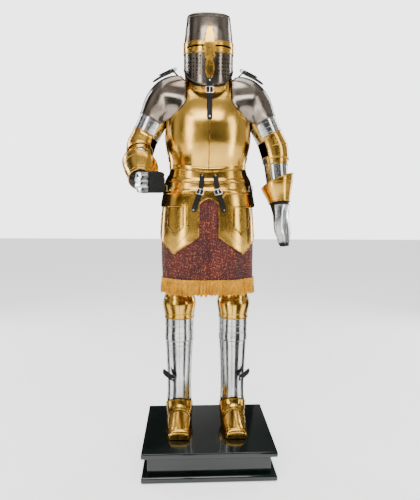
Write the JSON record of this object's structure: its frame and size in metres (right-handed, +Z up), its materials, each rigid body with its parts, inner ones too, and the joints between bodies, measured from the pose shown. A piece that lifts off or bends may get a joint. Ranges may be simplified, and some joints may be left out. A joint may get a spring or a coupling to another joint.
{
  "type": "suit of plate armour on a plinth",
  "caption": "Full display suit of brass and steel plate armour with a great helm, brocade skirt and bullion fringe, standing on a low black plinth.",
  "frame": {"origin": "middle of the plinth's underside", "axes": "+Z up, -Y the way the suit faces, +X towards the suit's left hand"},
  "size_m": [0.7386, 0.4675, 1.9586],
  "materials": {
    "brass": "polished brass plating",
    "steel": "polished steel",
    "dark_steel": "polished dark steel",
    "leather": "black leather",
    "brocade": "dark red brocade with gold scrolls",
    "bullion": "gold bullion fringe",
    "plinth_paint": "gloss greenish black paint"
  },
  "bodies": {
    "root": {"plinth_bottom": "plinth_paint", "plinth_body": "plinth_paint", "plinth_top": "plinth_paint", "breastplate": "brass", "backplate": "brass", "fauld_upper": "brass", "fauld_lower": "brass", "rump_plate": "brass", "tasset_R": "brass", "tasset_L": "brass", "skirt": "brocade", "fringe": "bullion", "helm_skull": "dark_steel", "helm_band": "brass", "helm_spear": "brass", "collar": "leather", "chin_strap": "leather", "pauldron_R": "dark_steel", "pauldron_L": "dark_steel", "rerebrace_R": "steel", "rerebrace_L": "steel", "couter_R": "brass", "couter_L": "brass", "couter_lame_R": "brass", "couter_lame_L": "brass", "vambrace_R": "steel", "vambrace_L": "steel", "gauntlet_cuff_R": "brass", "gauntlet_cuff_L": "brass", "glove_R": "leather", "glove_L": "leather", "hand_plate_R": "steel", "hand_plate_L": "steel", "shoulder_strap_R": "leather", "shoulder_strap_L": "leather", "tasset_strap_R": "leather", "tasset_strap_L": "leather", "side_strap_R": "leather", "side_strap_L": "leather", "sabaton_toe_R": "brass", "sabaton_toe_L": "brass", "sabaton_lame_low_R": "brass", "sabaton_lame_low_L": "brass", "sabaton_lame_high_R": "brass", "sabaton_lame_high_L": "brass", "sabaton_ankle_R": "brass", "sabaton_ankle_L": "brass", "heel_plate_R": "brass", "heel_plate_L": "brass", "greave_front_R": "steel", "greave_front_L": "steel", "greave_back_R": "leather", "greave_back_L": "leather", "knee_lame_R": "steel", "knee_lame_L": "steel", "poleyn_R": "brass", "poleyn_L": "brass", "cuisse_R": "steel", "cuisse_L": "steel"}
  },
  "joints": []
}
